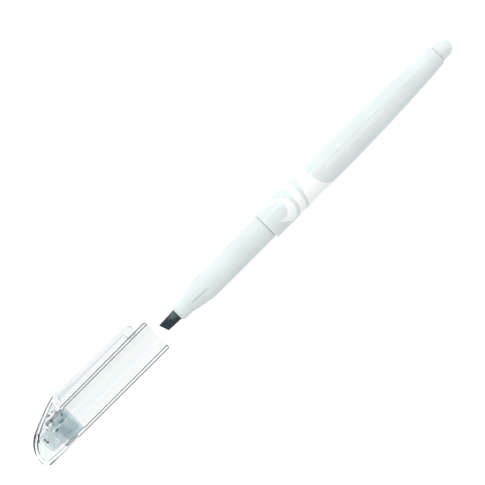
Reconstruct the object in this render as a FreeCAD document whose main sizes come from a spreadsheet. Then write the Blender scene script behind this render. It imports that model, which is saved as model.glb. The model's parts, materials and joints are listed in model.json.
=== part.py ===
import FreeCAD, Part
import math
import os

import Sketcher
from FreeCAD import Placement, Rotation, Vector

# Fabric marking pen with a chisel nib, an eraser plug in its tail and a clear cap with a clip.
#
# Every piece is drawn along its own X axis and then placed.  The pen's pieces have x = 0 at the
# shoulder where the cap seats, with the nib towards -X and the eraser towards +X.  The cap's
# pieces have x = 0 at the mouth of the cap, with the crown towards -X and the clip towards +Z.
# Placed, the pen and its cap lie on the plane z = 0, in line along X, the cap off the nib and
# rolled until the edge of the clip rests on the plane too.

# Driving sizes in millimetres and degrees: name, value, meaning.
SIZES = (
    ("barrel_length", 77.6, "shoulder to the rim of the tail"),
    ("barrel_straight", 28.2, "length of that stretch"),
    ("barrel_wall", 1.1, "wall of the barrel"),
    ("barrel_lip", 0.35, "chamfer of the front lip"),
    ("tail_radius", 3.6, "barrel at the rim of the tail"),
    ("tail_ledge", 0.63, "rim of the tail seen round the eraser, with its round"),
    ("tail_round", 0.45, "round of that rim"),
    ("tail_block", 9.6, "solid length at the tail that holds the eraser"),
    ("bore_step", 0.15, "step of the bore behind the socket"),
    ("rib_length", 9.0, "stop ribs behind the reservoir"),
    ("rib_thickness", 0.8, "one stop rib"),
    ("rib_catch", 0.5, "stop ribs behind the edge of the fibre rod"),
    ("grip_length", 39.6, "shoulder to the end of the nose"),
    ("grip_shoulder", 0.29, "step from the grip down to its spigot"),
    ("spigot_length", 14.0, "spigot of the grip inside the barrel"),
    ("spigot_wall", 0.98, "wall of the spigot"),
    ("nose_wall", 0.95, "wall of the nose round the nib"),
    ("nose_length", 4.6, "cylinder that the inner cap seals on"),
    ("nose_step", 0.2, "step from the nose up to the taper"),
    ("nose_cone", 0.8, "length of the cone at the end of the nose"),
    ("nose_rim", 0.3, "flat rim of the nose round the nib"),
    ("taper_length", 6.1, "straight flank of the taper"),
    ("taper_drop", 0.25, "rear end of the flank below the grip"),
    ("vent_length", 6.8, "vent groove along the taper"),
    ("vent_width", 0.5, "width of the groove"),
    ("vent_depth", 0.4, "depth of the groove at its shallow end"),
    ("vent_setback", 1.3, "groove behind the front of the taper"),
    ("vent_turn", 6.0, "groove round the axis from the side, towards the clip"),
    ("nib_radius", 1.95, "felt rod of the nib"),
    ("nib_front_radius", 1.65, "rod at its front end, in front of the nose"),
    ("nib_reach", 6.7, "nib in front of the nose"),
    ("nib_slant", 1.2, "set-back of the short corner of the writing edge"),
    ("nib_edge", 0.6, "thickness of the writing edge"),
    ("nib_bevel", 5.8, "length of the two bevels"),
    ("nib_turn", -6.0, "broad side round the axis, towards the clip"),
    ("nib_hold", 14.0, "rod of the nib inside the grip"),
    ("nib_spike_radius", 1.25, "rear end of the nib inside the fibre rod"),
    ("nib_spike_length", 6.0, "length of that end"),
    ("reservoir_length", 76.0, "fibre rod"),
    ("reservoir_radius", 3.1, "fibre rod"),
    ("wrap_thickness", 0.12, "film sleeve round the fibre rod"),
    ("reservoir_play", 0.13, "gap between the sleeve and the grip"),
    ("eraser_reach", 5.65, "length of the eraser behind the barrel"),
    ("eraser_straight", 3.0, "straight stretch before its dome"),
    ("eraser_shoulder", 0.62, "step from the eraser down to its stem"),
    ("eraser_stem_length", 9.0, "length of that stem"),
    ("cap_offset", 2.63, "nib to the mouth of the cap, cap off"),
    ("cap_play", 0.18, "gap between the grip and the cap tube"),
    ("mouth_wall", 0.98, "wall of the cap tube at its mouth"),
    ("mouth_chamfer", 0.25, "both edges of the mouth"),
    ("cap_draft", 0.16, "cap tube thinner at the seam than at its mouth"),
    ("neck_overrun", 1.6, "neck of the tube past the skirt of the inner cap"),
    ("neck_step", 0.57, "step from the tube down to its neck"),
    ("neck_wall", 0.55, "wall of the neck, which holds the inner cap"),
    ("seam_setback", 0.1, "seam in front of the inner cap, at the clip"),
    ("seam_slant", 3.3, "seam further back opposite the clip"),
    ("crown_room", 5.0, "inside end of the inner cap to the end of the crown, less its floor"),
    ("crown_rise", 3.93, "top of the crown above the tube at the seam"),
    ("crown_brow", 2.9, "length of the rounded end of the crown's back"),
    ("brow_tuck", 0.52, "start of that rounded end inside the side of the inner cap"),
    ("crown_nose_drop", 2.6, "axis down to the furthest point of the crown"),
    ("chin_room", 0.33, "gap between the inner cap and the underside of the crown"),
    ("crown_chin_round", 2.3, "round from the underside to the end"),
    ("back_half", 2.35, "half width of the crown's back and of the clip"),
    ("crown_cheek", 2.1, "length of the rounded end, seen from above"),
    ("cheek_tuck", 0.12, "start of the cheeks inside the side of the inner cap"),
    ("crown_keel", 0.3, "underside of the crown drawn this far below the tube at the seam"),
    ("crown_wall", 1.1, "wall of the crown"),
    ("seat_clearance", 0.02, "gap of parts pushed together for good"),
    ("seal_overlap", 2.2, "inner cap over the nose, cap on"),
    ("inner_seal", 0.05, "gap round the nose inside the inner cap"),
    ("inner_skirt", 6.2, "length of the skirt of the inner cap"),
    ("inner_wall", 0.45, "wall of the inner cap"),
    ("nib_room", 2.6, "nib to the bottom of the inner cap, cap on"),
    ("inner_floor", 1.0, "closed end of the inner cap"),
    ("inner_web", 0.9, "ring that joins the skirt to the cup"),
    ("inner_chamfer", 0.8, "edge of the closed end and lead-in of the mouth"),
    ("flute_width", 1.2, "air flutes on the skirt"),
    ("flute_depth", 0.2, "depth of the flutes"),
    ("clip_plate", 0.95, "top plate of the clip"),
    ("clip_skirt", 0.75, "thickness of the side skirts"),
    ("clip_waist", 13.0, "mouth of the cap to the lowest point of the top plate"),
    ("clip_depth", 1.6, "depth of the clip at that point"),
    ("toe_rise", 0.05, "top plate over the toe above that point"),
    ("clip_space", 1.48, "gap between the tube and the skirts of the clip"),
    ("clip_end", 4.0, "mouth of the cap to the end of the toe"),
    ("toe_length", 3.4, "length of the toe"),
    ("toe_round", 1.6, "round of the toe's upper edge"),
    ("toe_pad", 1.6, "flat of the toe over the tube"),
    ("toe_gap", 0.1, "gap between the toe and the tube"),
    ("clip_gap", 0.02, "gap between the clip and the crown"),
)

# Sizes that follow from the driving ones, because the pieces fit each other.
FITS = {
    "nib_bore": "nib_radius + seat_clearance",
    "nose_radius": "nib_bore + nose_wall",
    "sleeve_radius": "reservoir_radius + wrap_thickness",
    "core_bore": "sleeve_radius + reservoir_play",
    "rib_hole_radius": "reservoir_radius - rib_catch",
    "spigot_radius": "core_bore + spigot_wall",
    "socket_radius": "spigot_radius + seat_clearance",
    "barrel_radius": "socket_radius + barrel_wall",
    "grip_radius": "spigot_radius + grip_shoulder",
    "taper_front_radius": "nose_radius + nose_step",
    "taper_rear_radius": "grip_radius - taper_drop",
    "eraser_radius": "tail_radius - tail_ledge",
    "eraser_stem_radius": "eraser_radius - eraser_shoulder",
    "tube_bore": "grip_radius + cap_play",
    "mouth_radius": "tube_bore + mouth_wall",
    "tube_radius": "mouth_radius - cap_draft",
    "neck_radius": "tube_radius - neck_step",
    "neck_bore": "neck_radius - neck_wall",
    "cup_bore": "nose_radius + inner_seal",
    "cup_radius": "cup_bore + inner_wall",
    "inner_front": "grip_length - seal_overlap",
    "inner_bottom": "grip_length + nib_reach + nib_room",
    "inner_end": "inner_bottom + inner_floor",
    "seam_top": "inner_front - seam_setback",
    "seam_bottom": "seam_top + seam_slant",
    "tube_length": "inner_front + inner_skirt + neck_overrun",
    "crown_length": "inner_end + crown_room",
    "crown_height": "tube_radius + crown_rise",
    "crown_chin": "cup_radius + crown_wall + chin_room",
    "crown_cheek_half": "cup_radius - cheek_tuck",
    "crown_brow_height": "cup_radius - brow_tuck",
    "clip_under": "tube_radius + clip_space",
    "clip_waist_height": "clip_under + clip_depth",
    "clip_toe_height": "clip_waist_height + toe_rise",
    "nose_end": "0 - grip_length",
    "nib_tip": "nose_end - nib_reach",
    "nib_back": "nib_hold - grip_length",
    "spike_end": "nib_back + nib_spike_length",
    "core_rear": "nib_back + reservoir_length",
    "flank_front": "nose_length - grip_length",
    "flank_rear": "flank_front + taper_length",
    "tail_floor": "barrel_length - tail_block",
    "middle": "( crown_length + cap_offset + nib_reach + grip_length - barrel_length"
              " - eraser_reach ) / 2",
    "mouth": "middle - grip_length - nib_reach - cap_offset",
    # The clip's edge and the cap's mouth both touch the plane z = 0, which sets the roll.
    "roll": "asin( mouth_radius / sqrt( crown_height ^ 2 + back_half ^ 2 ) )"
            " - atan( back_half / crown_height )",
    "clip_side": "crown_height * cos( roll ) + back_half * sin( roll )",
    "sideways": "( mouth_radius - clip_side ) / 2",
    "brow_radius": "( crown_brow ^ 2 + ( crown_brow_height + crown_nose_drop ) ^ 2 )"
                   " / ( 2 * crown_brow )",
    "chin_radius": "( crown_chin_round ^ 2 + ( crown_chin - crown_nose_drop ) ^ 2 )"
                   " / ( 2 * crown_chin_round )",
    "cheek_radius": "( crown_cheek ^ 2 + crown_cheek_half ^ 2 ) / ( 2 * crown_cheek )",
}

DRIVING = {name for name, number, meaning in SIZES}

doc = FreeCAD.newDocument("marking_pen")
sheet = doc.addObject("Spreadsheet::Sheet", "sizes")
for row, (name, number, meaning) in enumerate(SIZES, start=1):
    sheet.set("A%d" % row, meaning)
    sheet.set("B%d" % row, str(number))
    sheet.setAlias("B%d" % row, name)
doc.recompute()


def bound(expression):
    """Spell an expression of size names out in cells of the sheet."""
    spelt = []
    for word in expression.split():
        if word in FITS:
            word = "( " + bound(FITS[word]) + " )"
        elif word in DRIVING:
            word = "sizes." + word
        spelt.append(word)
    return " ".join(spelt)


def number_of(expression):
    """Work an expression of size names out as a plain number."""
    result = sheet.evalExpression(bound(expression))
    return float(getattr(result, "Value", result))


class Corner:
    """One corner of an outline, and the edge that leads from it to the next corner.

    x and y are expressions.  A corner marked smooth joins its two edges without a kink, and then
    its numbers may be free ("X", "Y" or "XY"): they are only a first guess for the solver.
    bow bends the edge to the next corner into an arc: it is the height of the arc over its chord
    as a share of the chord, to the left of the way round, again as a first guess.  radius fixes
    the arc's size by an expression, and centred puts its centre at the origin.
    """

    def __init__(self, x, y, smooth=False, free="", bow=0.0, radius=None, centred=False):
        self.x, self.y = x, y
        self.smooth, self.free = smooth, free
        self.bow, self.radius, self.centred = bow, radius, centred

    def point(self):
        return Vector(number_of(self.x), number_of(self.y), 0)


def arc_between(start, end, bow):
    """Make an arc from start to end; return it with the numbers of its start and end points."""
    chord = end - start
    length = chord.Length
    left = Vector(-chord.y, chord.x, 0) / length
    rise = bow * length
    radius = (length * length / 4 + rise * rise) / (2 * abs(rise))
    side = 1 if rise > 0 else -1
    centre = (start + end) / 2 + left * (rise - side * radius)
    first, last = (end, start) if rise > 0 else (start, end)
    angles = [math.atan2(p.y - centre.y, p.x - centre.x) for p in (first, last)]
    circle = Part.Circle(centre, Vector(0, 0, 1), radius)
    arc = Part.ArcOfCircle(circle, angles[0], angles[1])
    return arc, ((2, 1) if rise > 0 else (1, 2))


def draw(sketch, corners):
    """Draw a closed outline in a sketch and bind each corner to the sheet."""
    points = [corner.point() for corner in corners]
    count = len(corners)
    ends = []
    for index, corner in enumerate(corners):
        start, end = points[index], points[(index + 1) % count]
        if corner.bow:
            edge, numbers = arc_between(start, end, corner.bow)
        else:
            edge, numbers = Part.LineSegment(start, end), (1, 2)
        ends.append((sketch.addGeometry(edge, False), numbers))
    for index, corner in enumerate(corners):
        before, after = ends[index - 1], ends[index]
        kind = "Tangent" if corner.smooth else "Coincident"
        sketch.addConstraint(
            Sketcher.Constraint(kind, before[0], before[1][1], after[0], after[1][0]))
        for axis, expression, start in (("X", corner.x, points[index].x),
                                        ("Y", corner.y, points[index].y)):
            if axis in corner.free:
                continue
            constraint = Sketcher.Constraint(
                "Distance" + axis, -1, 1, after[0], after[1][0], start)
            bind(sketch, sketch.addConstraint(constraint), "at%d%s" % (index, axis), expression)
        if corner.radius:
            constraint = Sketcher.Constraint("Radius", after[0], number_of(corner.radius))
            bind(sketch, sketch.addConstraint(constraint), "radius%d" % index, corner.radius)
        if corner.centred:
            sketch.addConstraint(Sketcher.Constraint("Coincident", after[0], 3, -1, 1))


def bind(sketch, constraint, name, expression):
    """Name a constraint of a sketch and bind it to an expression of size names."""
    sketch.renameConstraint(constraint, name)
    sketch.setExpression("Constraints." + name, bound(expression))


def place(piece, origin, turn="0"):
    """Lay a piece down, its own x = 0 at origin, turned about its axis towards the clip."""
    piece.Placement = Placement(Vector(0, 0, 1), Rotation(Vector(1, 0, 0), -100))
    piece.setExpression("Placement.Base.x", bound(origin))
    piece.setExpression("Placement.Base.y", bound("sideways"))
    piece.setExpression("Placement.Base.z", bound("mouth_radius"))
    angle = "-1 * ( 90 deg + roll + ( " + turn + " ) * 1 deg )"
    piece.setExpression("Placement.Rotation.Angle", bound(angle))


def new_body(name, origin, turn="0"):
    body = doc.addObject("PartDesign::Body", name)
    body.Label = name
    place(body, origin, turn)
    return body


def sketch_on(body, role, name, corners):
    """Add a sketch to a body on one of its own origin planes and draw an outline in it."""
    sketch = body.newObject("Sketcher::SketchObject", name)
    plane = next(item for item in body.Origin.OriginFeatures if item.Role == role)
    sketch.AttachmentSupport = [(plane, "")]
    sketch.MapMode = "FlatFace"
    draw(sketch, corners)
    doc.recompute()
    return sketch


def spin(body, name, corners, kind="PartDesign::Revolution"):
    """Revolve an outline of the body's XZ plane about its X axis."""
    sketch = sketch_on(body, "XZ_Plane", name + "_outline", corners)
    feature = body.newObject(kind, name)
    feature.Profile = sketch
    feature.ReferenceAxis = (sketch, ["H_Axis"])
    feature.Angle = 360
    body.Tip = feature
    doc.recompute()
    return feature


def slab(body, name, role, corners, thickness, kind="PartDesign::Pad"):
    """Add or cut away an outline, to equal depths on both sides of its plane."""
    sketch = sketch_on(body, role, name + "_outline", corners)
    feature = body.newObject(kind, name)
    feature.Profile = sketch
    feature.SideType = "Symmetric"
    feature.setExpression("Length", bound(thickness))
    body.Tip = feature
    doc.recompute()
    return feature


def spread(body, feature, count):
    """Repeat a feature evenly round the body's X axis."""
    pattern = body.newObject("PartDesign::PolarPattern", feature.Name + "_ring")
    pattern.Originals = [feature]
    axis = next(item for item in body.Origin.OriginFeatures if item.Role == "X_Axis")
    pattern.Axis = (axis, [""])
    pattern.Angle = 360
    pattern.Occurrences = count
    body.Tip = pattern
    doc.recompute()


def straight(*points):
    """Turn pairs of expressions into corners with straight edges between them."""
    return [Corner(x, y) for x, y in points]


# --- the pen ---------------------------------------------------------------------------------

def skin(x):
    """Radius of the barrel's outside at x, behind its straight stretch."""
    run = "( ( " + x + " - barrel_straight ) / ( barrel_length - barrel_straight ) )"
    return "( barrel_radius - ( barrel_radius - tail_radius ) * " + run + " ^ 2 )"


def barrel():
    """Tube with a chamfered lip, a stepped bore, a solid tail with a hole, and three stop ribs."""
    body = new_body("barrel", "middle")
    bore = "barrel_radius - barrel_wall - bore_step"
    socket_end = "spigot_length + seat_clearance"
    spin(body, "barrel_tube", [
        Corner("0", "socket_radius"),
        Corner("0", "barrel_radius - barrel_lip"),
        Corner("barrel_lip", "barrel_radius"),
        Corner("barrel_straight", "barrel_radius", smooth=True, bow=0.01),
        Corner("barrel_length - tail_round", "tail_radius"),
        Corner("barrel_length", "tail_radius - tail_round"),
        Corner("barrel_length", "eraser_stem_radius"),
        Corner("tail_floor", "eraser_stem_radius"),
        Corner("tail_floor", skin("tail_floor") + " - barrel_wall - bore_step", bow=-0.01),
        Corner("barrel_straight", bore, smooth=True),
        Corner(socket_end, bore),
        Corner(socket_end, "socket_radius"),
    ])
    rib_end = "core_rear + rib_length"
    rib_top = skin("( " + rib_end + " )") + " - barrel_wall / 2"
    rib = slab(body, "stop_rib", "XZ_Plane", straight(
        ("core_rear", "rib_hole_radius"),
        (rib_end, "rib_hole_radius"),
        (rib_end, rib_top),
        ("core_rear", rib_top),
    ), "rib_thickness")
    spread(body, rib, 3)


def grip_section():
    """Front of the pen: nose, taper, grip and the spigot in the barrel, with the vent groove."""
    body = new_body("grip_section", "middle", "vent_turn - 90")
    spin(body, "grip_tube", [
        Corner("nose_end", "nib_bore"),
        Corner("nose_end", "nib_bore + nose_rim"),
        Corner("nose_end + nose_cone", "nose_radius"),
        Corner("flank_front", "nose_radius"),
        Corner("flank_front", "taper_front_radius"),
        Corner("flank_rear", "taper_rear_radius", smooth=True, bow=0.03),
        Corner("flank_rear + 0.4 * taper_length", "grip_radius", smooth=True, free="X"),
        Corner("0", "grip_radius"),
        Corner("0", "spigot_radius"),
        Corner("spigot_length", "spigot_radius"),
        Corner("spigot_length", "core_bore"),
        Corner("nib_back", "core_bore"),
        Corner("nib_back", "nib_bore"),
    ])
    slope = "( ( taper_rear_radius - taper_front_radius ) / taper_length )"
    front = "( flank_front + vent_setback )"
    floor = "taper_front_radius + " + slope + " * vent_setback - vent_depth"
    slab(body, "vent", "XZ_Plane", straight(
        (front, floor),
        (front + " + vent_length", floor + " + " + slope + " * vent_length"),
        (front + " + vent_length", "2 * grip_radius"),
        (front, "2 * grip_radius"),
    ), "vent_width", "PartDesign::Pocket")


def nib():
    """Felt rod with a spike at its rear, cut to a slanted chisel edge by three planes."""
    body = new_body("nib", "middle", "nib_turn")
    spin(body, "nib_rod", straight(
        ("nib_tip", "0"),
        ("nib_tip", "nib_front_radius"),
        ("nose_end", "nib_radius"),
        ("nib_back", "nib_radius"),
        ("nib_back", "nib_spike_radius"),
        ("spike_end", "nib_spike_radius"),
        ("spike_end", "0"),
    ))
    slab(body, "nib_end", "XZ_Plane", straight(
        ("nib_tip - nib_slant / 2", "2 * nib_radius"),
        ("nib_tip + nib_slant * 3 / 2", "-2 * nib_radius"),
        ("nib_tip - nib_slant", "-2 * nib_radius"),
        ("nib_tip - nib_slant", "2 * nib_radius"),
    ), "4 * nib_radius", "PartDesign::Pocket")
    for side, name in (("1 * ", "nib_bevel_left"), ("-1 * ", "nib_bevel_right")):
        outside = side + "( 2 * nib_radius - nib_edge / 2 )"
        slab(body, name, "XY_Plane", straight(
            ("nib_tip", side + "nib_edge / 2"),
            ("nib_tip + 2 * nib_bevel", outside),
            ("nib_tip", outside),
        ), "4 * nib_radius", "PartDesign::Pocket")


def reservoir():
    """Fibre rod with a blind hole for the nib's spike, and the film sleeve round it."""
    core = new_body("reservoir_core", "middle")
    spin(core, "fibre_rod", straight(
        ("nib_back", "nib_spike_radius"),
        ("nib_back", "reservoir_radius"),
        ("core_rear", "reservoir_radius"),
        ("core_rear", "0"),
        ("spike_end", "0"),
        ("spike_end", "nib_spike_radius"),
    ))
    wrap = new_body("reservoir_wrap", "middle")
    spin(wrap, "film_sleeve", straight(
        ("nib_back", "reservoir_radius"),
        ("nib_back", "sleeve_radius"),
        ("core_rear", "sleeve_radius"),
        ("core_rear", "reservoir_radius"),
    ))


def eraser():
    """Rubber plug: a stem in the tail of the barrel and a short domed cylinder behind it."""
    body = new_body("eraser", "middle")
    spin(body, "eraser_plug", [
        Corner("barrel_length - eraser_stem_length", "0"),
        Corner("barrel_length - eraser_stem_length", "eraser_stem_radius"),
        Corner("barrel_length", "eraser_stem_radius"),
        Corner("barrel_length", "eraser_radius"),
        Corner("barrel_length + eraser_straight", "eraser_radius", smooth=True, bow=0.2),
        Corner("barrel_length + eraser_reach", "0"),
    ])


# --- the cap ---------------------------------------------------------------------------------

def seam(height):
    """Place along the cap of the slanted seam between tube and crown, at a height."""
    share = "( " + height + " + tube_radius ) / ( crown_height + tube_radius )"
    return "( ( seam_bottom - seam_top ) * " + share + " - seam_bottom )"


def cap_tube():
    """Tube of the cap, cut along the seam, with the neck that the crown is pushed on."""
    body = new_body("cap_tube", "mouth")
    spin(body, "tube_wall", straight(
        ("0 - seam_bottom", "neck_bore"),
        ("0 - seam_bottom", "tube_radius"),
        ("0 - mouth_chamfer", "mouth_radius"),
        ("0", "mouth_radius - mouth_chamfer"),
        ("0", "tube_bore + mouth_chamfer"),
        ("0 - mouth_chamfer", "tube_bore"),
        ("0 - inner_front", "tube_bore"),
        ("0 - inner_front", "neck_bore"),
    ))
    slab(body, "seam_cut", "XZ_Plane", straight(
        (seam("crown_height"), "crown_height"),
        (seam("( 0 - crown_height )"), "0 - crown_height"),
        ("0 - crown_length", "0 - crown_height"),
        ("0 - crown_length", "crown_height"),
    ), "4 * mouth_radius", "PartDesign::Pocket")
    spin(body, "neck", straight(
        ("0 - tube_length", "neck_bore"),
        ("0 - tube_length", "neck_radius"),
        ("0 - inner_front", "neck_radius"),
        ("0 - inner_front", "neck_bore"),
    ))


def prism(name, turn, corners, length):
    """Extrude a loose outline to equal lengths on both sides of the plane that turn puts it in."""
    sketch = doc.addObject("Sketcher::SketchObject", name + "_outline")
    sketch.Placement = Placement(Vector(0, 0, 0), turn)
    draw(sketch, corners)
    doc.recompute()
    solid = doc.addObject("Part::Extrusion", name)
    solid.Base = sketch
    solid.DirMode = "Normal"
    solid.Symmetric = True
    solid.Solid = True
    solid.setExpression("LengthFwd", bound(length))
    doc.recompute()
    return solid


def crown_form(name, inset):
    """Make the solid hood common to a side, an end and a top outline, all drawn inset alike."""
    def brow(span):
        return inset + " * ( " + span + " ) / brow_radius"

    top = "( crown_height - " + inset + " )"
    keel = "( 0 - tube_radius - crown_keel + " + inset + " )"
    side = prism(name + "_side", Rotation(Vector(1, 0, 0), 90), [
        Corner(seam(top) + " - " + inset, top, bow=-0.08),
        Corner("crown_brow - crown_length + " + brow("brow_radius - crown_brow"),
               "crown_brow_height - " + brow("crown_brow_height + crown_nose_drop"),
               smooth=True, bow=-0.1, radius="brow_radius - " + inset),
        Corner(inset + " - crown_length", "0 - crown_nose_drop",
               bow=-0.2, radius="chin_radius - " + inset),
        Corner("crown_chin_round - crown_length", inset + " - crown_chin"),
        Corner(seam(keel) + " - " + inset, keel),
    ], "4 * tube_radius")
    half = "( back_half - " + inset + " )"
    round_radius = "( tube_radius - " + inset + " )"
    end = prism(name + "_end", Rotation(Vector(1, 1, 1), 120), [
        Corner(half, "1.2 * crown_height"),
        Corner("0 - " + half, "1.2 * crown_height"),
        Corner("0 - " + half, "clip_under"),
        Corner("-0.86 * " + round_radius, "0.5 * " + round_radius, smooth=True, free="XY",
               bow=-0.87, radius=round_radius, centred=True),
        Corner("0.86 * " + round_radius, "0.5 * " + round_radius, smooth=True, free="XY"),
        Corner(half, "clip_under"),
    ], "4 * crown_length")
    wide = "( tube_radius + crown_wall - " + inset + " )"
    cheek_x = ("crown_cheek - crown_length + " + inset
               + " * ( cheek_radius - crown_cheek ) / cheek_radius")
    cheek_y = "( crown_cheek_half - " + inset + " * crown_cheek_half / cheek_radius )"
    plan = prism(name + "_plan", Rotation(), [
        Corner("0", "0 - " + wide),
        Corner("0", wide),
        Corner("0 - seam_top", wide, smooth=True, free="X", bow=-0.05),
        Corner(cheek_x, cheek_y, smooth=True, bow=-0.25, radius="cheek_radius - " + inset),
        Corner(cheek_x, "0 - " + cheek_y, smooth=True, bow=-0.05),
        Corner("0 - seam_top", "0 - " + wide, smooth=True, free="X"),
    ], "4 * crown_height")
    form = doc.addObject("Part::MultiCommon", name)
    form.Shapes = [side, end, plan]
    return form


def cap_crown():
    """Hollow hood that closes the cap and carries the clip, bored to fit the tube's neck."""
    outside = crown_form("crown_outside", "0")
    inside = crown_form("crown_inside", "crown_wall")
    bore = doc.addObject("Part::Cylinder", "crown_bore")
    bore.Placement = Placement(Vector(0, 0, 0), Rotation(Vector(0, 1, 0), -90))
    bore.setExpression("Radius", bound("neck_radius + seat_clearance"))
    bore.setExpression("Height", bound("tube_length + seat_clearance"))
    hollow = doc.addObject("Part::Fuse", "crown_hollow")
    hollow.Base, hollow.Tool = inside, bore
    crown = doc.addObject("Part::Cut", "cap_crown")
    crown.Base, crown.Tool = outside, hollow
    crown.Label = "cap_crown"
    place(crown, "mouth")
    doc.recompute()


def inner_cap():
    """Cup that seals round the nose, on a skirt that is held in the tube's neck."""
    body = new_body("inner_cap", "mouth")
    web = "0 - inner_front - inner_web"
    skirt = "0 - inner_front - inner_skirt"
    spin(body, "cup", straight(
        ("0 - inner_end", "0"),
        ("0 - inner_end", "cup_radius - inner_chamfer"),
        ("inner_chamfer - inner_end", "cup_radius"),
        (web, "cup_radius"),
        (web, "neck_bore - inner_wall"),
        (skirt, "neck_bore - inner_wall"),
        (skirt, "neck_bore"),
        ("0 - inner_front", "neck_bore"),
        ("0 - inner_front", "cup_bore + inner_chamfer"),
        ("0 - inner_front - inner_chamfer", "cup_bore"),
        ("0 - inner_bottom", "cup_bore"),
        ("0 - inner_bottom", "0"),
    ))
    flute = slab(body, "flute", "XZ_Plane", straight(
        (skirt + " - inner_wall", "neck_bore - flute_depth"),
        ("inner_wall - inner_front", "neck_bore - flute_depth"),
        ("inner_wall - inner_front", "2 * neck_bore"),
        (skirt + " - inner_wall", "2 * neck_bore"),
    ), "flute_width", "PartDesign::Pocket")
    spread(body, flute, 4)


def clip():
    """Spring arm of channel section: a curved top plate, two side skirts and a solid toe."""
    body = new_body("clip", "mouth")
    root = seam("crown_height") + " + clip_gap"
    toe = "0 - clip_end - toe_length"
    pad = "mouth_radius + toe_gap"
    pad_front = "0 - clip_end - ( toe_length - toe_pad ) / 2"
    slab(body, "clip_bar", "XZ_Plane", [
        Corner(root, "crown_height - clip_gap", bow=-0.02),
        Corner("0 - clip_waist", "clip_waist_height", smooth=True),
        Corner("0 - clip_end - toe_round", "clip_toe_height", bow=0.2, radius="toe_round"),
        Corner("0 - clip_end", "clip_toe_height - toe_round"),
        Corner("0 - clip_end", "( clip_under + " + pad + " ) / 2"),
        Corner(pad_front, pad),
        Corner(pad_front + " - toe_pad", pad),
        Corner(toe, "clip_under"),
        Corner(seam("clip_under") + " + clip_gap", "clip_under"),
    ], "2 * back_half")
    slab(body, "channel", "XZ_Plane", [
        Corner(root + " + clip_plate", "crown_height - clip_gap - clip_plate", bow=-0.02),
        Corner("0 - clip_waist", "clip_waist_height - clip_plate", smooth=True),
        Corner(toe, "clip_toe_height - clip_plate"),
        Corner(toe, "clip_under - clip_plate"),
        Corner(root + " + clip_plate", "clip_under - clip_plate"),
    ], "2 * ( back_half - clip_skirt )", "PartDesign::Pocket")


barrel()
grip_section()
nib()
reservoir()
eraser()
cap_tube()
cap_crown()
inner_cap()
clip()
doc.recompute()

NODES = ("barrel", "grip_section", "nib", "reservoir_core", "reservoir_wrap", "eraser",
         "cap_tube", "cap_crown", "inner_cap", "clip")

for item in doc.Objects:
    if "Invalid" in item.State or "Error" in item.State:
        raise SystemExit("failed: %s %s" % (item.Name, item.State))
pieces = {label: doc.getObjectsByLabel(label)[0].Shape for label in NODES}
for label, shape in pieces.items():
    if shape.isNull() or not shape.isValid() or len(shape.Solids) != 1:
        raise SystemExit("not one valid solid: " + label)

os.makedirs("parts", exist_ok=True)
for label, shape in pieces.items():
    shape.exportStep("parts/" + label + ".step")
    box = shape.BoundBox
    print("%-15s %9.1f mm3  x %7.2f %7.2f  y %6.2f %6.2f  z %6.2f %6.2f" % (
        label, shape.Volume, box.XMin, box.XMax, box.YMin, box.YMax, box.ZMin, box.ZMax))
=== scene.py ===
"""An erasable fabric marking pen with its clear cap off, lying on a pale floor."""

import json
import math

import bmesh
import bpy
from mathutils import Matrix, Vector


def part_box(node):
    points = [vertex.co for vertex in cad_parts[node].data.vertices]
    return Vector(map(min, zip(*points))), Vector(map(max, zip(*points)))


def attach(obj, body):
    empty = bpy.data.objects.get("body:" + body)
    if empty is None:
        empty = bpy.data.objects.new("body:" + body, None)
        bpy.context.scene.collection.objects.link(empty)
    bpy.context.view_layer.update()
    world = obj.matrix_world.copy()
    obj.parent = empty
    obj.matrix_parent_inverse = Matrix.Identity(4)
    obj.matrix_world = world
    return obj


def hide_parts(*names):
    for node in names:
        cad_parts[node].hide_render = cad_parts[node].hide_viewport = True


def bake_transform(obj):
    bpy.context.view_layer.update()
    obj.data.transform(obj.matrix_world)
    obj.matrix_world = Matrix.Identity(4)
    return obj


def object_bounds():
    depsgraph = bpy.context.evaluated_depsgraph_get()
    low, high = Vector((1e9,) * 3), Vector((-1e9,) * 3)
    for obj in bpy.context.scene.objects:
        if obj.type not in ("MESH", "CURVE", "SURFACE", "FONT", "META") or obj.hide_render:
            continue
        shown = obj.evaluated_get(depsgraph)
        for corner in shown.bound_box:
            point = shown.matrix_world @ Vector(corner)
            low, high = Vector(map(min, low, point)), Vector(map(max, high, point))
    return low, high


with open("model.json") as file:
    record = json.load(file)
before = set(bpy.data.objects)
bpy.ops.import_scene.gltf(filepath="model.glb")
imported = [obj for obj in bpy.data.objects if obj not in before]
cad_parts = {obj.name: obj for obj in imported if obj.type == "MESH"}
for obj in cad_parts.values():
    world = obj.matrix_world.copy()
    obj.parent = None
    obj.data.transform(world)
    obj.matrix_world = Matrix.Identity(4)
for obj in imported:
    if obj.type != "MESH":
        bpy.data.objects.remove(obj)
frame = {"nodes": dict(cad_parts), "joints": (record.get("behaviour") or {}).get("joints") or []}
CAD_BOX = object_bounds()

# --- where things are ------------------------------------------------------------------------
# Shapes are drawn in millimetres about the pen's own axis: x along it, z towards the clip.
# The shoulder and the mouth of the cap are the two places that everything is measured from.

MM = 0.001
barrel_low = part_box("barrel")[0]
tube_low, tube_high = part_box("cap_tube")
SHOULDER = barrel_low.x / MM
MOUTH = tube_high.x / MM
AXIS = Vector((0, (tube_low.y + tube_high.y) / 2, (tube_low.z + tube_high.z) / 2))
hinge = next(joint for joint in frame["joints"] if joint["name"] == "clip_flex")
SIDE = -Vector(hinge["axis"]).normalized()
UP = Vector((1, 0, 0)).cross(SIDE)
TURNED = Matrix((Vector((1, 0, 0)), SIDE, UP)).transposed()
PLACE = Matrix.Translation(AXIS) @ TURNED.to_4x4() @ Matrix.Scale(MM, 4)

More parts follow.
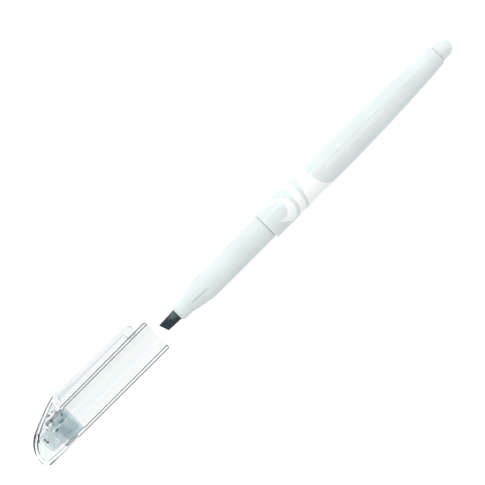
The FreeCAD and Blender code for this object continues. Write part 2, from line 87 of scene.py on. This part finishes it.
# Sizes that more than one outline or finish uses.
BARREL_RADIUS = 5.45
GRIP_LENGTH = 39.6
SPIGOT_LENGTH = 14
SKIRT_FRONT = 37.4
SAME_POINT = 1e-4


def arc(start, end, bow, count):
    """Points of a shallow arc between two points of an outline, with both of them."""
    start, end = Vector(start), Vector(end)
    half = (end - start) / 2
    radius = (half.length_squared + bow * bow) / (2 * abs(bow))
    side = Vector((-half.y, half.x)).normalized() * math.copysign(1, bow)
    centre = start + half - side * (radius - abs(bow))
    spoke = start - centre
    sweep = spoke.angle_signed(end - centre)
    points = []
    for step in range(count + 1):
        turned_spoke = spoke.copy()
        turned_spoke.rotate(Matrix.Rotation(-sweep * step / count, 2))
        points.append(tuple(centre + turned_spoke))
    return points


def turned(outline, steps=128, closed=True):
    """Spin an outline of (x, radius) about the axis. An open outline keeps its two ends."""
    shape = bmesh.new()
    corners = [shape.verts.new((x, 0, radius)) for x, radius in outline]
    ends = corners[1:] + corners[:1] if closed else corners[1:]
    edges = [shape.edges.new(pair) for pair in zip(corners, ends)]
    bmesh.ops.spin(shape, geom=corners + edges, axis=(1, 0, 0), cent=(0, 0, 0),
                   angle=math.tau, steps=steps, use_merge=True)
    bmesh.ops.remove_doubles(shape, verts=shape.verts, dist=SAME_POINT)
    bmesh.ops.recalc_face_normals(shape, faces=shape.faces)
    return shape


def pressed_in(shape, faces, depth):
    """Sink a patch of a surface, with steep sides."""
    bmesh.ops.inset_region(shape, faces=faces, thickness=0.03, depth=-depth,
                           use_even_offset=True, use_boundary=True)


def turn_about_axis(shape, degrees):
    """Turn a shape about the pen's axis."""
    bmesh.ops.rotate(shape, verts=shape.verts,
                     matrix=Matrix.Rotation(math.radians(degrees), 3, "X"))


def made(name, shape, body, slot, finish, *nodes, crease=30, place=PLACE):
    """Turn a shape into a piece of the pen that rides on a body and stands for CAD nodes. A
    piece without a body is one that bends between two, and a shape without a place is in the
    frame's metres already."""
    mesh = bpy.data.meshes.new(name)
    if place:
        bmesh.ops.transform(shape, matrix=place, verts=shape.verts)
    shape.to_mesh(mesh)
    shape.free()
    mesh.shade_smooth()
    mesh.set_sharp_from_angle(angle=math.radians(crease))
    mesh.materials.append(finish)
    piece = bpy.data.objects.new(name, mesh)
    bpy.context.scene.collection.objects.link(piece)
    if body:
        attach(piece, body)
    if nodes:
        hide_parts(*nodes)
    return piece


# --- finishes --------------------------------------------------------------------------------

def colour(code):
    """An sRGB hex colour as linear light."""
    shares = [int(code[place:place + 2], 16) / 255 for place in (0, 2, 4)]
    linear = [share / 12.92 if share <= 0.04045 else ((share + 0.055) / 1.055) ** 2.4
              for share in shares]
    return (*linear, 1)


def finish_named(name):
    """A new finish that has no nodes yet."""
    finish = bpy.data.materials.new(name)
    finish.use_nodes = True
    finish.node_tree.nodes.clear()
    return finish


def add(finish, kind, sockets=(), stops=(), **settings):
    """Add a node. Each socket gets a value, or the output of another node. A colour ramp gets
    its stops, as (place, hex colour)."""
    node = finish.node_tree.nodes.new("ShaderNode" + kind)
    for name, value in settings.items():
        setattr(node, name, value)
    for socket, value in dict(sockets).items():
        if isinstance(value, bpy.types.NodeSocket):
            finish.node_tree.links.new(value, node.inputs[socket])
        else:
            node.inputs[socket].default_value = value
    if stops:
        elements = node.color_ramp.elements
        while len(elements) < len(stops):
            elements.new(1)
        for element, (position, code) in zip(elements, stops):
            element.position = position
            element.color = colour(code)
    return node


def along_pen(finish, origin):
    """Millimetres from origin on the axis: x along it, y across and z towards the clip."""
    turn = TURNED.transposed().to_4x4()
    centre = turn @ (Vector((origin * MM, 0, 0)) + AXIS) / MM
    place = add(finish, "TexCoord").outputs["Object"]
    mapping = add(finish, "Mapping", {"Vector": place, "Scale": (1000, 1000, 1000),
                                      "Rotation": turn.to_euler(), "Location": -centre})
    return mapping.outputs["Vector"]


def clouded(finish, place, dark, light):
    """A colour that drifts a little over some eight millimetres, as the flow of a moulding
    leaves it."""
    cloud = add(finish, "TexNoise", {"Vector": place, "Scale": 0.12, "Detail": 3.0,
                                     "Roughness": 0.5})
    tone = add(finish, "ValToRGB", {0: cloud.outputs["Fac"]},
               stops=((0.3, dark), (0.7, light)))
    return tone.outputs["Color"]


def moulded_skin(finish, place, base, roughness, coat=()):
    """The surface of a moulding: satin, with a fine grain that light enters a little way."""
    grain = add(finish, "TexNoise", {"Vector": place, "Scale": 3.0, "Detail": 2.0,
                                     "Roughness": 0.6})
    bump = add(finish, "Bump", {"Strength": 0.04, "Distance": 0.00004,
                                "Height": grain.outputs["Fac"]})
    surface = add(finish, "BsdfPrincipled", {
        "Base Color": base, "Roughness": roughness, "IOR": 1.49, "Specular IOR Level": 0.2,
        "Normal": bump.outputs["Normal"], "Subsurface Weight": 0.15,
        "Subsurface Radius": (0.0012, 0.0013, 0.0014), "Subsurface Scale": 1.0,
        **dict(coat)})
    add(finish, "OutputMaterial", {"Surface": surface.outputs[0]})


def printed_plastic():
    """Moulded polypropylene, cool pale grey and satin, with a pattern of white pad printing
    and a thin gloss over all of it."""
    # Circles of the pattern: the middle along the barrel and round it, and the radius.
    crescent, upper_hole, lower_hole = (5.0, 0.8, 6.3), (5.9, 2.3, 3.3), (3.2, 2.9, 3.6)
    ring_outside, ring_inside = (-3.0, 3.0, 18.2), (-3.0, 3.0, 15.8)
    panel_hollow = (35.5, 4.5, 14.0)
    # Slanted lines: how far they lean, and where along the barrel they start.
    crescent_lean, crescent_front = 0.95, 3.67
    panel_lean, panel_front, panel_back = -0.27, 16.1, 35.0
    # A printing pad wraps this far round the barrel.
    pad_middle, pad_reach = 1.3, 10.5
    # The row of ticks: its middle and half its length, then the same round the barrel.
    row_middle, row_reach, tick_middle, tick_reach = 39.6, 13.0, 1.4, 0.7
    tick_pitch, tick_width, tick_strength = 1.0, 0.35, 0.5

    finish = finish_named("moulded_pp_pale_grey_printed")
    place = along_pen(finish, SHOULDER)
    split = add(finish, "SeparateXYZ", {"Vector": place})
    along = split.outputs["X"]
    across = add(finish, "Math", {0: split.outputs["Y"], 1: -1.0}, operation="MULTIPLY")
    angle = add(finish, "Math", {0: split.outputs["Z"], 1: across.outputs[0]},
                operation="ARCTAN2")
    # Places on the skin: along the pen, and round it from the side that faces up.
    arc_length = add(finish, "Math", {0: angle.outputs[0], 1: BARREL_RADIUS},
                     operation="MULTIPLY")
    around = arc_length.outputs[0]
    flat = add(finish, "CombineXYZ", {"X": along, "Y": around})

    def disc(middle_along, middle_around, radius):
        """One inside a circle on the skin, nought outside."""
        reach = add(finish, "VectorMath",
                    {0: flat.outputs[0], 1: (middle_along, middle_around, 0)},
                    operation="DISTANCE")
        near = add(finish, "Math", {0: reach.outputs["Value"], 1: radius},
                   operation="LESS_THAN")
        return near.outputs[0]

    # The first crescent is a disc less two others and less what is past a slanted line.
    slope = add(finish, "Math", {0: around, 1: crescent_lean, 2: along},
                operation="MULTIPLY_ADD")
    kept = add(finish, "Math", {0: slope.outputs[0], 1: crescent_front},
               operation="GREATER_THAN")
    whole = add(finish, "Math", {0: disc(*crescent), 1: kept.outputs[0]},
                operation="MULTIPLY")
    holes = add(finish, "Math", {0: disc(*upper_hole), 1: disc(*lower_hole)},
                operation="MAXIMUM")
    first = add(finish, "Math", {0: whole.outputs[0], 1: holes.outputs[0]},
                operation="SUBTRACT", use_clamp=True)
    # The second is a slice of a wide ring.
    second = add(finish, "Math", {0: disc(*ring_outside), 1: disc(*ring_inside)},
                 operation="SUBTRACT", use_clamp=True)
    # A flared panel runs from a slanted line to a wide hollow curve.
    lean = add(finish, "Math", {0: around, 1: panel_lean, 2: along},
               operation="MULTIPLY_ADD")
    past = add(finish, "Math", {0: lean.outputs[0], 1: panel_front},
               operation="GREATER_THAN")
    before = add(finish, "Math", {0: along, 1: panel_back}, operation="LESS_THAN")
    strip = add(finish, "Math", {0: past.outputs[0], 1: before.outputs[0]},
                operation="MULTIPLY")
    panel = add(finish, "Math", {0: strip.outputs[0], 1: disc(*panel_hollow)},
                operation="SUBTRACT", use_clamp=True)
    pair = add(finish, "Math", {0: first.outputs[0], 1: second.outputs[0]},
               operation="MAXIMUM")
    bands = add(finish, "Math", {0: pair.outputs[0], 1: panel.outputs[0]},
                operation="MAXIMUM")
    window = add(finish, "Math", {0: around, 1: pad_middle, 2: pad_reach},
                 operation="COMPARE")
    pattern = add(finish, "Math", {0: bands.outputs[0], 1: window.outputs[0]},
                  operation="MULTIPLY")
    # A faint row of millimetre ticks runs towards the tail.
    level = add(finish, "Math", {0: around, 1: tick_middle, 2: tick_reach},
                operation="COMPARE")
    stretch = add(finish, "Math", {0: along, 1: row_middle, 2: row_reach},
                  operation="COMPARE")
    beat = add(finish, "Math", {0: along, 1: tick_pitch}, operation="MODULO")
    tick = add(finish, "Math", {0: beat.outputs[0], 1: tick_width}, operation="LESS_THAN")
    line = add(finish, "Math", {0: level.outputs[0], 1: stretch.outputs[0]},
               operation="MULTIPLY")
    rule = add(finish, "Math", {0: line.outputs[0], 1: tick.outputs[0]},
               operation="MULTIPLY")
    faint = add(finish, "Math", {0: rule.outputs[0], 1: tick_strength},
                operation="MULTIPLY")
    print_mask = add(finish, "Math", {0: pattern.outputs[0], 1: faint.outputs[0]},
                     operation="MAXIMUM")
    skin = add(finish, "Mix", {"Factor": print_mask.outputs[0],
                               "A": clouded(finish, place, "d4dcdd", "dae2e3"),
                               "B": colour("f4f7f7")}, data_type="RGBA")
    moulded_skin(finish, place, skin.outputs["Result"], 0.45,
                 coat={"Coat Weight": 0.55, "Coat Roughness": 0.05})
    return finish


def satin_plastic(name, dark, light, roughness):
    """Moulded plastic without print: a faint cloud in its colour and a fine moulded grain."""
    finish = finish_named(name)
    place = along_pen(finish, SHOULDER)
    moulded_skin(finish, place, clouded(finish, place, dark, light), roughness)
    return finish


def pressed_felt(name, dark, light):
    """Pressed polyester felt soaked with ink: matt, with fibres that run along the pen."""
    # Where the painted highlight sits on the nib: its middle, where it is full, and where it
    # fades out.
    painted_highlight_place, painted_highlight_core, painted_highlight_rim = (-40.8, -1.4, 1.7), 0.6, 2.2
    finish = finish_named(name)
    place = along_pen(finish, SHOULDER)
    # Fibres are a fifth of a millimetre across and ten times as long.
    drawn = add(finish, "VectorMath", {0: place, 1: (0.5, 5.0, 5.0)}, operation="MULTIPLY")
    fibres = add(finish, "TexNoise", {"Vector": drawn.outputs[0], "Scale": 1.0,
                                      "Detail": 4.0, "Roughness": 0.65})
    felt = add(finish, "ValToRGB", {0: fibres.outputs["Fac"]},
               stops=((0.3, dark), (0.7, light)))
    # A painted highlight: the upper flank of the nib is painted paler near the nose, standing in
    # for the light that falls on it.
    reach = add(finish, "VectorMath", {0: place, 1: painted_highlight_place}, operation="DISTANCE")
    painted_highlight_amount = add(finish, "MapRange", {"Value": reach.outputs["Value"],
                                    "From Min": painted_highlight_core, "From Max": painted_highlight_rim,
                                    "To Min": 0.6, "To Max": 0.0})
    felt_with_painted_highlight = add(finish, "Mix", {"Factor": painted_highlight_amount.outputs[0], "A": felt.outputs["Color"],
                                 "B": colour("5a7070")}, data_type="RGBA")
    bump = add(finish, "Bump", {"Strength": 0.5, "Distance": 0.00012,
                                "Height": fibres.outputs["Fac"]})
    surface = add(finish, "BsdfPrincipled", {
        "Base Color": felt_with_painted_highlight.outputs["Result"], "Roughness": 0.75, "IOR": 1.5,
        "Normal": bump.outputs["Normal"], "Sheen Weight": 0.1, "Sheen Roughness": 0.5})
    add(finish, "OutputMaterial", {"Surface": surface.outputs[0]})
    return finish


def frosted_rubber():
    """Thermoplastic rubber, milky and half clear: light goes in and comes out near by."""
    finish = finish_named("frosted_thermoplastic_rubber")
    place = along_pen(finish, SHOULDER)
    cloud = add(finish, "TexNoise", {"Vector": place, "Scale": 0.6, "Detail": 3.0,
                                     "Roughness": 0.55})
    rubber = add(finish, "ValToRGB", {0: cloud.outputs["Fac"]},
                 stops=((0.3, "d4dbdc"), (0.7, "dee4e5")))
    bump = add(finish, "Bump", {"Strength": 0.1, "Distance": 0.0001,
                                "Height": cloud.outputs["Fac"]})
    surface = add(finish, "BsdfPrincipled", {
        "Base Color": rubber.outputs["Color"], "Roughness": 0.5, "IOR": 1.5,
        "Normal": bump.outputs["Normal"], "Subsurface Weight": 0.7,
        "Subsurface Radius": (0.002, 0.002, 0.002), "Subsurface Scale": 1.0})
    add(finish, "OutputMaterial", {"Surface": surface.outputs[0]})
    return finish


def clear_plastic(name, clear, edge, turns_dark, marks=None):
    """Injection-moulded clear polystyrene: water clear and glossy. Light that crosses the
    skin at a glancing angle is bent away, so its outlines are thin dark lines. Where the wall
    is thick and curved, small dark marks show what it bends into sight."""
    softness, gloss = 0.12, 0.01
    brow_height, brow_reach = 4.2, 2.6
    mark_start, mark_full = 0.64, 0.72
    finish = finish_named(name)
    place = along_pen(finish, MOUTH)
    slant = add(finish, "LayerWeight", {"Blend": 0.5})
    outline = add(finish, "ValToRGB", {0: slant.outputs["Facing"]},
                  stops=((0.0, clear), (turns_dark, clear), (turns_dark + softness, edge),
                         (1.0, edge)))
    tint = outline.outputs["Color"]
    if marks:
        height = add(finish, "SeparateXYZ", {"Vector": place})
        bent = add(finish, "TexNoise", {"Vector": place, "Scale": 0.75, "Detail": 1.0,
                                        "Roughness": 0.4})
        brow = add(finish, "Math", {0: height.outputs["Z"], 1: brow_height, 2: brow_reach},
                   operation="COMPARE")
        bends = add(finish, "Math", {0: bent.outputs["Fac"], 1: brow.outputs[0]},
                    operation="MULTIPLY")
        flecks = add(finish, "ValToRGB", {0: bends.outputs[0]},
                     stops=((0.0, "ffffff"), (mark_start, "ffffff"), (mark_full, marks),
                            (1.0, marks)))
        marked = add(finish, "Mix", {"Factor": 1.0, "A": tint, "B": flecks.outputs["Color"]},
                     data_type="RGBA", blend_type="MULTIPLY")
        tint = marked.outputs["Result"]
    through = add(finish, "BsdfTransparent", {"Color": tint})
    ripple = add(finish, "TexNoise", {"Vector": place, "Scale": 0.25, "Detail": 2.0,
                                      "Roughness": 0.5})
    bump = add(finish, "Bump", {"Strength": 0.05, "Distance": 0.0002,
                                "Height": ripple.outputs["Fac"]})
    shine = add(finish, "BsdfGlossy", {"Color": (1, 1, 1, 1), "Roughness": 0.03,
                                       "Normal": bump.outputs["Normal"]})
    skin = add(finish, "MixShader", {0: gloss, 1: through.outputs[0], 2: shine.outputs[0]})
    path = add(finish, "LightPath")
    lit = add(finish, "BsdfTransparent", {"Color": colour("fcfdfd")})
    surface = add(finish, "MixShader", {0: path.outputs["Is Shadow Ray"],
                                        1: skin.outputs[0], 2: lit.outputs[0]})
    add(finish, "OutputMaterial", {"Surface": surface.outputs[0]})
    return finish


def hazy_plastic():
    """Moulded low-density polyethylene: mostly clear, with a little milk in soft clouds, so
    what is behind it shows through greyed."""
    milkiness = 0.15
    finish = finish_named("milky_polyethylene")
    place = along_pen(finish, MOUTH)
    cloud = add(finish, "TexNoise", {"Vector": place, "Scale": 0.35, "Detail": 3.0,
                                     "Roughness": 0.6})
    milk = add(finish, "ValToRGB", {0: cloud.outputs["Fac"]},
               stops=((0.42, "c4cecf"), (0.58, "f4f8f8")))
    solid = add(finish, "BsdfPrincipled", {
        "Base Color": milk.outputs["Color"], "Roughness": 0.35, "IOR": 1.51,
        "Subsurface Weight": 0.5, "Subsurface Radius": (0.001, 0.001, 0.001),
        "Subsurface Scale": 1.0})
    through = add(finish, "BsdfTransparent", {"Color": colour("f6f9fa")})
    surface = add(finish, "MixShader", {0: milkiness, 1: through.outputs[0],
                                        2: solid.outputs[0]})
    add(finish, "OutputMaterial", {"Surface": surface.outputs[0]})
    return finish


PRINTED = printed_plastic()
# The same plastic without print or gloss: it looks a shade softer than the barrel.
GRIP = satin_plastic("moulded_pp_pale_grey", "d4dcdd", "dae2e3", 0.45)
# Felt full of dark ink: almost black, with a cold tinge.
FELT = pressed_felt("inked_polyester_felt", "0c1c22", "1a3038")
# The rod that feeds it holds less ink: a dull dark grey.
FIBRE = pressed_felt("bonded_fibre_rod", "3a464c", "5a666c")
# Polyethylene film round the rod: pale, and a little smoother than the mouldings.
FILM = satin_plastic("thin_pe_film", "d8dee0", "e2e6e8", 0.4)
RUBBER = frosted_rubber()
# The tube's wall gives soft grey lines.
CLEAR = clear_plastic("clear_polystyrene", "f9fafa", "a2aaaa", 0.6)
# The crown's thick wall gives thinner and darker lines, and dark marks under its brow.
THICK = clear_plastic("thick_clear_polystyrene", "f9fafa", "2a3232", 0.77, "889092")
# The clip is thin: it hardly shows but for the edges of its channel.
SPRING = clear_plastic("thin_clear_polystyrene", "f5f7f7", "5a6464", 0.84)
HAZY = hazy_plastic()

# --- the pen ---------------------------------------------------------------------------------

def pen(*outline):
    """Move an outline measured from the shoulder to its place on the axis."""
    return [(SHOULDER + x, radius) for x, radius in outline]


def barrel():
    """Printed tube: a chamfered lip, a long taper and a rounded rim round the eraser."""
    lip, socket, socket_end = 0.3, 4.36, SPIGOT_LENGTH + 0.02
    taper_start, rim_start, rim_radius, end = 28.2, 77.15, 3.6, 77.6
    bore, stem_end, stem_bore = 4.2, 68, 2.36
    outside = [
        (lip, socket), (lip, 5.2), (0.55, BARREL_RADIUS), (12, BARREL_RADIUS),
        (20, BARREL_RADIUS),
        *arc((taper_start, BARREL_RADIUS), (rim_start, rim_radius), 0.4625, 32),
        *arc((rim_start, rim_radius), (end, 3.15), 0.12, 4)[1:]]
    inside = [
        (end, stem_bore), (stem_end, stem_bore), (stem_end, 2.98),
        *arc((67, 3.04), (taper_start, bore), -0.29, 16), (socket_end, bore),
        (socket_end, socket)]
    made("barrel_shell", turned(pen(*outside, *inside)), "pen", "body_plastic", PRINTED,
         "barrel")


def grip_section():
    """Front end: a cylinder for the fingers, a taper with a vent groove and a narrow nose."""
    radius, nose, spigot = 4.62, 2.92, 4.33
    bore, nib_bore, nib_stop = 3.36, 1.97, -25.6
    shape = turned(pen(
        (-GRIP_LENGTH, nib_bore), (-GRIP_LENGTH, 2.27), (-38.8, nose), (-35, nose),
        (-35, 3.12), (-33.7, 3.386), (-31, 3.94),
        *arc((-28.9, 4.37), (-26.46, radius), 0.063, 4), (0, radius), (0, spigot),
        (SPIGOT_LENGTH, spigot), (SPIGOT_LENGTH, bore), (nib_stop, bore),
        (nib_stop, nib_bore)), steps=96)
    groove_front, groove_back, groove_depth, groove_turn = -33.7, -26.9, 0.33, 84
    groove = []
    for face in shape.faces:
        middle = face.calc_center_median()
        on_taper = groove_front < middle.x - SHOULDER < groove_back
        if on_taper and middle.z > nose and abs(middle.y) < 0.2:
            groove.append(face)
    pressed_in(shape, groove, groove_depth)
    turn_about_axis(shape, groove_turn)
    made("grip_shell", shape, "pen", "grip_plastic", GRIP, "grip_section")


def nib():
    """Felt rod cut to a slanted chisel edge."""
    tip, tip_radius, radius = -46.3, 1.65, 1.95
    stop, rear, rear_radius = -25.62, -19.6, 1.25
    edge, reach, slant, roll = 0.6, 5.8, 1.2, 6
    shape = turned(pen(
        (tip, 0), (tip, tip_radius), (-GRIP_LENGTH, radius), (stop, radius),
        (stop, rear_radius), (rear, rear_radius), (rear, 0)), steps=96, closed=False)
    width = 2 * radius
    slope = (width - edge) / (2 * reach)
    for (x, y, z), normal in (((tip, 0, radius), (-1, 0, -slant / width)),
                              ((tip, edge / 2, 0), (-slope, 1, 0)),
                              ((tip, -edge / 2, 0), (-slope, -1, 0))):
        cut = bmesh.ops.bisect_plane(
            shape, geom=shape.verts[:] + shape.edges[:] + shape.faces[:], dist=SAME_POINT,
            plane_co=(SHOULDER + x, y, z), plane_no=normal, clear_outer=True)["geom_cut"]
        rim = [item for item in cut if isinstance(item, bmesh.types.BMEdge)]
        bmesh.ops.holes_fill(shape, edges=rim, sides=0)
    bmesh.ops.recalc_face_normals(shape, faces=shape.faces)
    turn_about_axis(shape, roll)
    made("nib_felt", shape, "pen", "felt", FELT, "nib", crease=20)


def eraser():
    """Domed rubber plug in the tail."""
    stem_start, stem, seat, collar, end = 68.6, 2.34, 77.62, 2.97, 83.25
    shape = turned(pen(
        (stem_start, 0), (stem_start, stem), (seat, stem), (seat, 2.85), (77.74, collar),
        *arc((80.6, collar), (end, 0), 0.75, 16)), steps=96, closed=False)
    made("eraser_tip", shape, "pen", "rubber", RUBBER, "eraser")


# --- the cap ---------------------------------------------------------------------------------

def cap(*outline):
    """Move an outline measured back from the mouth of the cap to its place on the axis."""
    return [(MOUTH - back, radius) for back, radius in outline]


def cap_tube():
    """Clear tube. Its outside ends at the slanted seam, and a thinner neck goes on inside."""
    bore, neck, neck_bore, neck_end = 4.8, 5.05, 4.51, 45.2
    seam_back, seam_height, seam_slope = 37.3, 9.55, 3.3 / 15.17
    shape = turned(cap(
        (41.5, 5.62), (20, 5.69), (0.25, 5.78), (0, 5.53), (0, 5.05), (0.25, bore),
        (20, bore), (SKIRT_FRONT, bore), (SKIRT_FRONT, neck_bore), (neck_end, neck_bore),
        (neck_end, neck), (37.2, neck)), steps=160, closed=False)
    neck_least, neck_most, neck_after = 5.0, 5.3, 30
    sleeve_faces = []
    neck_faces = []
    for face in shape.faces:
        middle = face.calc_center_median()
        from_axis = math.hypot(*middle.yz)
        if from_axis > neck_most:
            sleeve_faces.append(face)
        elif neck_least < from_axis < neck_most and middle.x < MOUTH - neck_after:
            neck_faces.append(face)
    past_seam = Vector((-1, 0, seam_slope))
    for faces, normal in ((sleeve_faces, past_seam), (neck_faces, -past_seam)):
        parts = set(faces)
        for face in faces:
            parts.update(face.edges)
            parts.update(face.verts)
        bmesh.ops.bisect_plane(shape, geom=list(parts), dist=SAME_POINT,
                               plane_co=(MOUTH - seam_back, 0, seam_height),
                               plane_no=normal, clear_outer=True)
    bmesh.ops.bridge_loops(shape, edges=[edge for edge in shape.edges if edge.is_boundary])
    bmesh.ops.recalc_face_normals(shape, faces=shape.faces)
    made("cap_tube_clear", shape, "cap", "clear_plastic", CLEAR, "cap_tube")


def inner_cap():
    """Cup that seals on the nose, with a fluted skirt in the neck of the tube."""
    cup, cup_bore, cup_end, cup_floor = 3.42, 2.97, 49.9, 48.9
    skirt, skirt_inside, skirt_end, web = 4.49, 4.05, 43.6, 38.3
    shape = turned(cap(
        (cup_end, 0), (cup_end, 2.62), (49.1, cup), (web, cup), (web, skirt_inside),
        (skirt_end, skirt_inside), (skirt_end, skirt), (37.85, skirt), (SKIRT_FRONT, skirt),
        (SKIRT_FRONT, 3.77), (38.2, cup_bore), (cup_floor, cup_bore), (cup_floor, 0)),
        steps=96, closed=False)
    flutes, flute_depth, flute_front, flute_from = 4, 0.2, 38, 4.4
    for flute in range(flutes):
        turn = math.tau * flute / flutes
        outwards = Vector((0, math.sin(turn), math.cos(turn)))
        patch = []
        for face in shape.faces:
            middle = face.calc_center_median()
            if middle.x < MOUTH - flute_front and middle.dot(outwards) > flute_from:
                patch.append(face)
        pressed_in(shape, patch, flute_depth)
    made("inner_cap_cup", shape, "cap", "hazy_plastic", HAZY, "inner_cap")


def copied(node):
    """A CAD node's shape with its loose triangles joined and its corners softened."""
    weld, flat, corner, softened = 2e-6, math.radians(0.5), math.radians(35), 0.12 * MM
    shape = bmesh.new()
    shape.from_mesh(frame["nodes"][node].data)
    bmesh.ops.remove_doubles(shape, verts=shape.verts, dist=weld)
    bmesh.ops.dissolve_limit(shape, angle_limit=flat, verts=shape.verts, edges=shape.edges)
    corners = [edge for edge in shape.edges
               if edge.is_manifold and edge.calc_face_angle() > corner]
    bmesh.ops.bevel(shape, geom=corners, offset=softened, offset_type="OFFSET", segments=2,
                    profile=0.5, affect="EDGES", clamp_overlap=True, material=-1)
    return shape


def cap_crown():
    """Hollow hood over the end of the tube."""
    made("cap_crown_clear", copied("cap_crown"), "cap", "clear_plastic", THICK,
         "cap_crown", place=None)


def clip():
    """Spring arm of channel section with a solid toe. Its root stays with the crown, and the
    arm bends over its first stretch."""
    shape = copied("clip")
    root, bend_length, cuts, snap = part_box("clip")[0].x, 10 * MM, 10, 1e-6
    for step in range(1, cuts + 1):
        bmesh.ops.bisect_plane(shape, geom=shape.verts[:] + shape.edges[:] + shape.faces[:],
                               dist=snap, plane_no=(1, 0, 0),
                               plane_co=(root + bend_length * step / cuts, 0, 0))
    arm = made("clip_clear", shape, None, "clear_plastic", SPRING, "clip", place=None)
    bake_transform(arm)


barrel()
grip_section()
nib()
eraser()
cap_tube()
inner_cap()
cap_crown()
clip()
for node, node_finish in (("reservoir_core", FIBRE), ("reservoir_wrap", FILM)):
    slots = frame["nodes"][node].data.materials
    slots.clear()
    slots.append(node_finish)

# --- floor, light and camera -----------------------------------------------------------------

FLOOR_RADIUS, FLOOR_GAP, FLOOR_GLOW = 6, 0.00005, 0.76
ROOM_LIGHT = 0.87

scene = bpy.context.scene
scene.view_settings.view_transform = "Standard"
# A view through the capped pen crosses many clear walls.
scene.cycles.transparent_max_bounces = 48


def light_table():
    """Opal acrylic of a light table, matt and white: it glows, so shadows stay pale."""
    finish = finish_named("opal_acrylic_light_table")
    place = add(finish, "TexCoord").outputs["Object"]
    noise = add(finish, "TexNoise", {"Vector": place, "Scale": 400.0, "Detail": 2.0})
    tone = add(finish, "ValToRGB", {0: noise.outputs["Fac"]},
               stops=((0.3, "b3b3b3"), (0.7, "b6b6b6")))
    matt = add(finish, "BsdfDiffuse", {"Color": tone.outputs["Color"]})
    glow = add(finish, "Emission", {"Color": colour("ffffff"), "Strength": FLOOR_GLOW})
    surface = add(finish, "AddShader", {0: matt.outputs[0], 1: glow.outputs[0]})
    add(finish, "OutputMaterial", {"Surface": surface.outputs[0]})
    return finish


floor_shape = bmesh.new()
bmesh.ops.create_circle(floor_shape, cap_ends=True, segments=96, radius=FLOOR_RADIUS)
floor_mesh = bpy.data.meshes.new("floor")
floor_shape.to_mesh(floor_mesh)
floor_shape.free()
floor_mesh.materials.append(light_table())
floor = bpy.data.objects.new("floor", floor_mesh)
floor.location.z = CAD_BOX[0].z - FLOOR_GAP
scene.collection.objects.link(floor)

world = bpy.data.worlds.new("soft_room")
world.use_nodes = True
scene.world = world
back = world.node_tree.nodes["Background"]
back.inputs["Color"].default_value = colour("ffffff")
back.inputs["Strength"].default_value = ROOM_LIGHT


def softbox(name, towards, distance, width, height, power):
    """An area light that faces the middle of the pen from a direction."""
    lamp = bpy.data.lights.new(name, "AREA")
    lamp.shape = "RECTANGLE"
    lamp.size = width
    lamp.size_y = height
    lamp.energy = power
    box = bpy.data.objects.new(name, lamp)
    direction = Vector(towards).normalized()
    box.location = AXIS + direction * distance
    box.rotation_euler = direction.to_track_quat("Z", "Y").to_euler()
    box.visible_camera = False
    scene.collection.objects.link(box)


softbox("key_softbox", (0.1, 0.94, 0.34), 1.1, 1.2, 0.6, 1.4)
softbox("highlight_strip", (0, 0.981, 0.195), 1.0, 1.2, 0.06, 2.2)

# The camera looks across the pen from 50 degrees above the floor, with the pen on a diagonal.
CAMERA_RISE = math.radians(49.83)
CAMERA_DISTANCE = 1.2
VIEW_WIDTH = 0.1547
SENSOR_WIDTH = 36
AIM_ALONG, AIM_ACROSS = 0.00153, 0.00151
look = Vector((0, math.cos(CAMERA_RISE), math.sin(CAMERA_RISE)))
along_view = Vector((1, 0, 0))
across_view = Vector((0, look.z, -look.y))
aim = Vector((AIM_ALONG, AXIS.y, AXIS.z)) + across_view * AIM_ACROSS
lens = bpy.data.cameras.new("camera")
lens.sensor_width = SENSOR_WIDTH
lens.lens = SENSOR_WIDTH * CAMERA_DISTANCE / VIEW_WIDTH
lens.clip_end = 20
camera = bpy.data.objects.new("camera", lens)
camera.location = aim + look * CAMERA_DISTANCE
right = (along_view - across_view).normalized()
upward = (along_view + across_view).normalized()
camera.rotation_euler = Matrix((right, upward, look)).transposed().to_euler()
scene.collection.objects.link(camera)
scene.camera = camera
